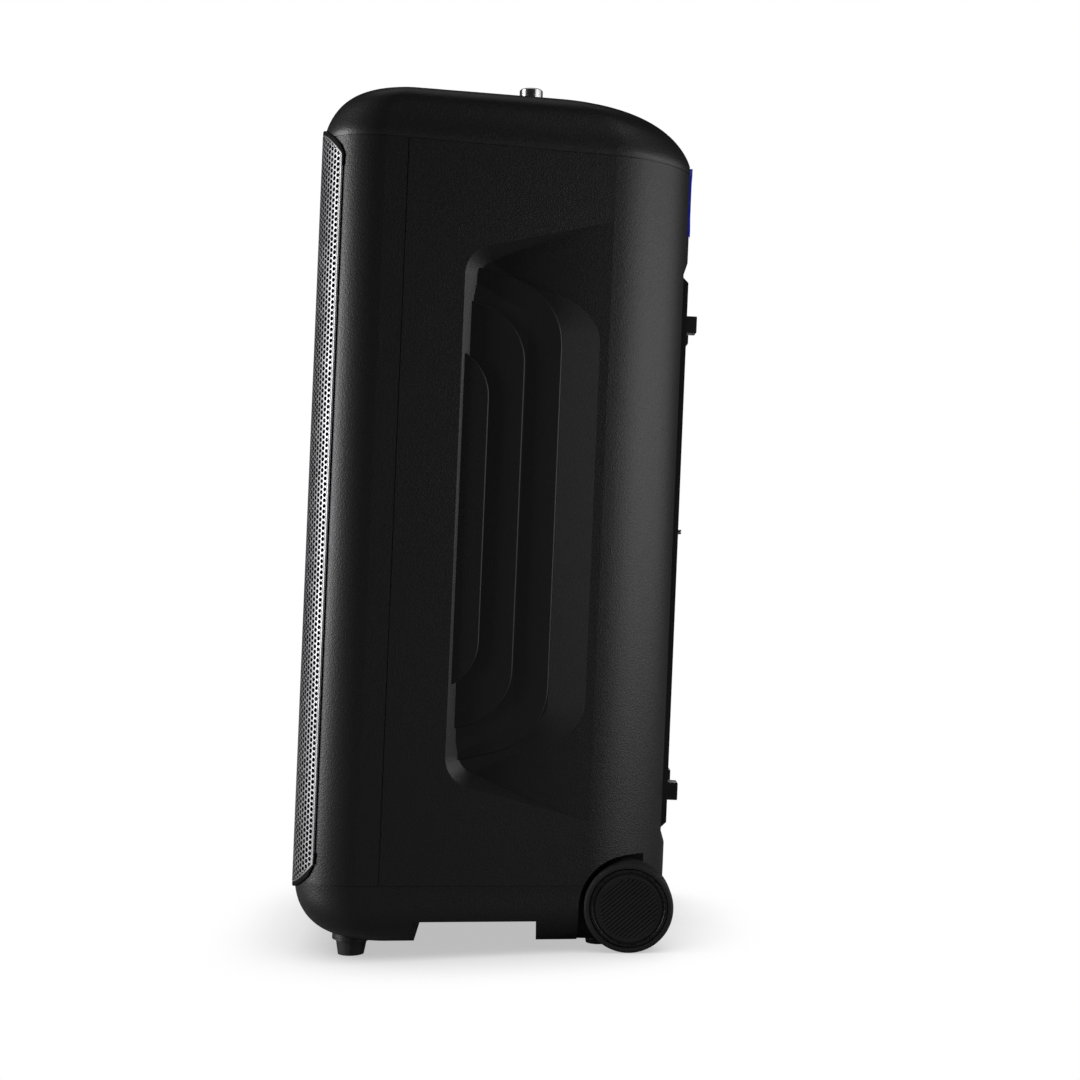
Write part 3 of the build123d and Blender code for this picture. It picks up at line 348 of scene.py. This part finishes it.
# Sizes in mm, in the cabinet's own directions
FLAT_HALF = 124.27          # half width of the flat front
WRAP_RADIUS = 46.85         # of the sheet's face, where it wraps round each side
FRONT_SKIN = -173.35        # the sheet stands a little proud of the housing's skin
PITCH = 4.47                # between neighbouring holes
HOLE = 1.80                 # radius of a hole
HOLE_POINTS = 12            # corners of a hole's outline, two for each side of a hexagon
HALF_SIDE = math.radians(30)    # half the angle that a hexagon's side takes up
SHEET = 1.1                 # thickness
GRILLE_MIDDLE = 361.9
GRILLE_HALF_X = 166.4       # the rounded outline, seen from the front
GRILLE_HALF_Z = 307.7
GRILLE_CORNER = 34.0
GRILLE_SIDE = 163.4         # where the straight sides cut that outline off
EDGE_MARGIN = 0.4           # least distance from the holes' field to the outline
LEAST_REACH = 0.6           # a hole nearer to the outline than this is left out
ARC_STEPS = 24              # along each rounded corner
SIDE_STEPS = 60             # along each straight side
TRIM_WIDTH = 3.5            # black moulding round each end of the sheet
TAPER_STEPS = 6             # over which the moulding narrows at its ends


def sheet_distance(x):
    """Distance along the wrapped sheet at which it has gone a width x from the middle."""
    beyond = abs(x) - FLAT_HALF
    if beyond <= 0:
        return x
    wrapped = WRAP_RADIUS * math.asin(min(1, beyond / WRAP_RADIUS))
    return math.copysign(FLAT_HALF + wrapped, x)


def sheet_width(s):
    """Width from the middle at a distance s along the wrapped sheet."""
    turn = max(0, abs(s) - FLAT_HALF) / WRAP_RADIUS
    if turn == 0:
        return s
    return math.copysign(FLAT_HALF + WRAP_RADIUS * math.sin(min(turn, math.pi / 2)), s)


def on_sheet(s, z, sink=0.0):
    """Point of the wrapped sheet at a distance s along it and a height z, sunk inwards."""
    side = 1 if s >= 0 else -1
    beyond = abs(s) - FLAT_HALF
    if beyond <= 0:
        return spot(s, FRONT_SKIN + sink, z)
    turn = beyond / WRAP_RADIUS
    radius = WRAP_RADIUS - sink
    centre_y = FRONT_SKIN + WRAP_RADIUS
    x = side * (FLAT_HALF + radius * math.sin(turn))
    return spot(x, centre_y - radius * math.cos(turn), z)


def edge_depth(x, z):
    """How far a place, seen from the front, is inside the grille's outline."""
    over_x = abs(x) - (GRILLE_HALF_X - GRILLE_CORNER)
    over_z = abs(z - GRILLE_MIDDLE) - (GRILLE_HALF_Z - GRILLE_CORNER)
    if over_x > 0 and over_z > 0:
        reach = math.hypot(over_x, over_z)
    else:
        reach = max(over_x, over_z)
    return min(GRILLE_CORNER - reach, GRILLE_SIDE - abs(x))


def held_in(x, z):
    """The place itself, or the nearest one that is a margin inside the outline."""
    x = max(-GRILLE_SIDE + EDGE_MARGIN, min(GRILLE_SIDE - EDGE_MARGIN, x))
    rise = z - GRILLE_MIDDLE
    rise = max(-GRILLE_HALF_Z + EDGE_MARGIN, min(GRILLE_HALF_Z - EDGE_MARGIN, rise))
    core_x = GRILLE_HALF_X - GRILLE_CORNER
    core_z = GRILLE_HALF_Z - GRILLE_CORNER
    over_x, over_z = abs(x) - core_x, abs(rise) - core_z
    reach = math.hypot(over_x, over_z)
    if over_x > 0 and over_z > 0 and reach > GRILLE_CORNER - EDGE_MARGIN:
        pull = (GRILLE_CORNER - EDGE_MARGIN) / reach
        x = math.copysign(core_x + over_x * pull, x)
        rise = math.copysign(core_z + over_z * pull, rise)
    return x, GRILLE_MIDDLE + rise


def perforated_sheet():
    """Staggered round holes in a hexagonal grid, as a front skin with the walls of each hole."""
    mesh = bmesh.new()
    corners = {}

    def placed(s, z, sink=0.0):
        x, z = held_in(sheet_width(s), z)
        return mesh.verts.new(on_sheet(sheet_distance(x), z, sink))

    def corner(s, z):
        key = (round(s, 2), round(z, 2))
        if key not in corners:
            corners[key] = placed(s, z)
        return corners[key]

    column = PITCH * math.sqrt(3) / 2
    columns = int(sheet_distance(GRILLE_SIDE) / column) + 1
    rows = int(GRILLE_HALF_Z / PITCH) + 2
    apothem = PITCH / 2
    for i in range(-columns, columns + 1):
        for j in range(-rows, rows + 1):
            s = i * column
            z = GRILLE_MIDDLE + (j + (i % 2) / 2) * PITCH
            if edge_depth(sheet_width(s), z) < LEAST_REACH:
                continue
            edge, rim, deep = [], [], []
            for k in range(HOLE_POINTS):
                turn = math.radians(360 / HOLE_POINTS * k)
                reach = apothem if k % 2 else apothem / math.cos(HALF_SIDE)
                edge.append(corner(s + reach * math.cos(turn), z + reach * math.sin(turn)))
                hole_s = s + HOLE * math.cos(turn)
                hole_z = z + HOLE * math.sin(turn)
                rim.append(placed(hole_s, hole_z))
                deep.append(placed(hole_s, hole_z, SHEET))
            for k in range(HOLE_POINTS):
                n = (k + 1) % HOLE_POINTS
                mesh.faces.new((edge[k], edge[n], rim[n], rim[k]))
                mesh.faces.new((rim[k], rim[n], deep[n], deep[k]))
    bmesh.ops.dissolve_degenerate(mesh, dist=0.000001, edges=mesh.edges[:])
    made = bpy.data.meshes.new("grille_sheet")
    mesh.to_mesh(made)
    mesh.free()
    return made


def grille_outline(inset):
    """Closed list of places round the grille's outline, drawn in by an inset."""
    radius = GRILLE_CORNER - inset
    core_x = GRILLE_HALF_X - GRILLE_CORNER
    core_z = GRILLE_HALF_Z - GRILLE_CORNER
    side = GRILLE_SIDE - inset
    cut = math.acos((side - core_x) / radius)
    quarter = []
    for k in range(ARC_STEPS + 1):
        turn = cut + (math.pi / 2 - cut) * k / ARC_STEPS
        quarter.append((core_x + radius * math.cos(turn), core_z + radius * math.sin(turn)))
    end = quarter[0][1]
    half = SIDE_STEPS / 2
    places = [(side, end * (k / half - 1)) for k in range(SIDE_STEPS + 1)]
    places += quarter[1:]
    places += [(core_x * (1 - k / half), GRILLE_HALF_Z - inset) for k in range(1, SIDE_STEPS)]
    places += [(-x, z) for x, z in reversed(quarter)]
    places += [(-side, end * (1 - k / half)) for k in range(1, SIDE_STEPS)]
    places += [(-x, -z) for x, z in quarter]
    places += [(core_x * (k / half - 1), -GRILLE_HALF_Z + inset) for k in range(1, SIDE_STEPS)]
    places += [(x, -z) for x, z in reversed(quarter[1:])]
    return places


def rolled_rim():
    """Plain border of the sheet, rolled back at its outer edge."""
    mesh = bmesh.new()
    profile = (
        # inset from the outline, depth below the sheet's face
        (1.4, 0.3), (1.3, -0.02), (0.6, -0.04), (0.25, 0.05), (0.05, 0.3), (0.0, 0.7),
        (0.0, 1.4), (0.8, 1.4), (0.9, 1.1),
    )
    rings = []
    for inset, sink in profile:
        ring = []
        for x, rise in grille_outline(inset):
            ring.append(mesh.verts.new(on_sheet(sheet_distance(x), GRILLE_MIDDLE + rise, sink)))
        rings.append(ring)
    count = len(rings[0])
    for inner, outer in zip(rings, rings[1:]):
        for i in range(count):
            n = (i + 1) % count
            mesh.faces.new((inner[i], inner[n], outer[n], outer[i]))
    bmesh.ops.recalc_face_normals(mesh, faces=mesh.faces[:])
    for face in mesh.faces:
        face.smooth = True
    made = bpy.data.meshes.new("grille_rim")
    mesh.to_mesh(made)
    mesh.free()
    return made


def trim_path(upper):
    """Sheet places round one end of the grille, each with its outward direction."""
    outline = [(sheet_distance(x), rise) for x, rise in grille_outline(0)]
    start = GRILLE_HALF_Z - GRILLE_CORNER
    path = []
    for i, (s, rise) in enumerate(outline):
        if (rise if upper else -rise) < start:
            continue
        before, after = outline[i - 1], outline[(i + 1) % len(outline)]
        along, up = after[0] - before[0], after[1] - before[1]
        length = math.hypot(along, up)
        path.append((s, rise, up / length, -along / length))
    return path


def end_trim(name, upper):
    """Black moulding that fills the joint between one end of the sheet and the cap; its
    near-black, unreflecting colour is partly real black trim and partly painted shade of that
    joint.
    """
    mesh = bmesh.new()
    profile = (
        # share of the width, depth below the sheet's face
        (-0.5, 7.0), (0.03, 3.0), (0.03, 0.35), (0.12, 0.15), (0.5, 0.08), (0.88, 0.15),
        (1.0, 0.40), (1.0, 7.0),
    )
    path = trim_path(upper)
    rings = []
    for i, (s, rise, along, up) in enumerate(path):
        width = TRIM_WIDTH * min(1, (i + 1) / TAPER_STEPS, (len(path) - i) / TAPER_STEPS)
        ring = []
        for share, sink in profile:
            out = width * share
            place = on_sheet(s + along * out, GRILLE_MIDDLE + rise + up * out, sink)
            ring.append(mesh.verts.new(place))
        rings.append(ring)
    count = len(profile)
    for first, second in zip(rings, rings[1:]):
        for i in range(count):
            n = (i + 1) % count
            mesh.faces.new((first[i], first[n], second[n], second[i]))
    mesh.faces.new(rings[0])
    mesh.faces.new(reversed(rings[-1]))
    bmesh.ops.recalc_face_normals(mesh, faces=mesh.faces[:])
    made = bpy.data.meshes.new(name)
    mesh.to_mesh(made)
    mesh.free()
    return made


sheet = piece("grille_sheet", perforated_sheet(), "grille_steel")
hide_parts("grille")
piece("grille_rim", rolled_rim(), "grille_steel")
for end in ("upper", "lower"):
    trim_name = "grille_" + end + "_trim"
    # each end trim wears the painted-shade black rather than its slot's own plastic
    piece(trim_name, end_trim(trim_name, end == "upper"), "inner_plastic", "trim_plastic_gap_shade")

# ---------------------------------------------------------------- stage, light and camera


# Sizes in metres, powers in watts
WORLD_FILL = 0.012          # strength of the even fill
SHADOW_REACH = 0.13         # how far from the floor the contact shadow reaches
SHADOW_TONE = 0.5           # the floor's brightness where the shadow is deepest
SHADOW_START, SHADOW_END = 0.2, 0.85
FLOOR_HALF = 20
PANEL_DISTANCE = 2.4
PANEL_WIDTH = 1.0
PANEL_HEIGHT = 1.3
WIDE_PANEL = 1.4
TOP_HEIGHT = 3.0
TOP_SIZE = (2.0, 2.0)
TOP_POWER = 7


def floor_material():
    """White floor with a soft contact shadow; what bounces off it to the speaker is grey."""
    s = Shader("floor")
    s.colour(s.ramp(s.noise(3, 2), 0, 1), (0.3, 0.3, 0.3), (0.32, 0.32, 0.32))
    s.main.inputs["Roughness"].default_value = 0.9
    s.main.inputs["Specular IOR Level"].default_value = 0.0
    openness = s.node("ShaderNodeAmbientOcclusion")
    openness.samples = 12
    openness.inputs["Distance"].default_value = SHADOW_REACH
    white = s.node("ShaderNodeEmission")
    tone = s.ramp(openness.outputs["AO"], SHADOW_TONE, 1.0, SHADOW_START, SHADOW_END)
    s.link(tone, white.inputs["Strength"])
    path = s.node("ShaderNodeLightPath")
    mix = s.node("ShaderNodeMixShader")
    out = next(n for n in s.tree.nodes if n.type == "OUTPUT_MATERIAL")
    s.link(path.outputs["Is Camera Ray"], mix.inputs["Fac"])
    s.link(s.main.outputs["BSDF"], mix.inputs[1])
    s.link(white.outputs["Emission"], mix.inputs[2])
    s.link(mix.outputs["Shader"], out.inputs["Surface"])
    return s.material


def make_floor():
    """Wide flat floor under the speaker."""
    mesh = bmesh.new()
    bmesh.ops.create_grid(mesh, x_segments=8, y_segments=8, size=FLOOR_HALF)
    made = bpy.data.meshes.new("floor")
    mesh.to_mesh(made)
    mesh.free()
    obj = bpy.data.objects.new("floor", made)
    scene.collection.objects.link(obj)
    obj.data.materials.append(floor_material())


def area_light(name, place, target, size, energy):
    """Rectangular light at a place, turned to face a target."""
    data = bpy.data.lights.new(name, "AREA")
    data.shape = "RECTANGLE"
    data.size, data.size_y = size
    data.energy = energy
    obj = bpy.data.objects.new(name, data)
    scene.collection.objects.link(obj)
    obj.location = place
    obj.rotation_euler = (Vector(target) - Vector(place)).to_track_quat("-Z", "Y").to_euler()


def studio_panel(name, bearing, energy, width=PANEL_WIDTH):
    """Upright softbox that stands on the floor at a bearing round the speaker."""
    turn = math.radians(bearing)
    place = Vector((math.cos(turn), math.sin(turn), 0)) * PANEL_DISTANCE
    place.z = PANEL_HEIGHT / 2
    area_light(name, place, (0, 0, place.z), (width, PANEL_HEIGHT), energy)


def make_world():
    """White backdrop for the eye; a dim even fill for everything that is lit by it."""
    world = bpy.data.worlds.new("studio")
    scene.world = world
    world.use_nodes = True
    tree = world.node_tree
    background = tree.nodes["Background"]
    background.inputs["Color"].default_value = (1, 1, 1, 1)
    path = tree.nodes.new("ShaderNodeLightPath")
    strength = tree.nodes.new("ShaderNodeMapRange")
    strength.inputs["To Min"].default_value = WORLD_FILL
    strength.inputs["To Max"].default_value = 1.0
    tree.links.new(path.outputs["Is Camera Ray"], strength.inputs["Value"])
    tree.links.new(strength.outputs["Result"], background.inputs["Strength"])


make_world()
make_floor()
studio_panel("front_softbox", -75, 57)
studio_panel("rear_softbox", 60, 13.5, WIDE_PANEL)
studio_panel("side_softbox", 80, 7, WIDE_PANEL)
studio_panel("back_softbox", 100, 5.5)
studio_panel("far_softbox", 180, 26)
area_light("top_softbox", (0, 0, TOP_HEIGHT), (0, 0, 0), TOP_SIZE, TOP_POWER)

CAMERA_DISTANCE = 1.6
CAMERA_Y = 0.0345
CAMERA_HEIGHT = 0.3427
SENSOR_WIDTH = 36.0         # mm
FOCAL_PIXELS = 1777         # focal length, in the 1080 pixel frame
FRAME_PIXELS = 1080
camera_data = bpy.data.cameras.new("camera")
camera_data.sensor_width = SENSOR_WIDTH
camera_data.lens = SENSOR_WIDTH * FOCAL_PIXELS / FRAME_PIXELS
camera = bpy.data.objects.new("camera", camera_data)
scene.collection.objects.link(camera)
camera.location = (CAMERA_DISTANCE, CAMERA_Y, CAMERA_HEIGHT)
camera.rotation_euler = (math.radians(90), 0, math.radians(90))
scene.camera = camera
scene.view_settings.view_transform = "Standard"
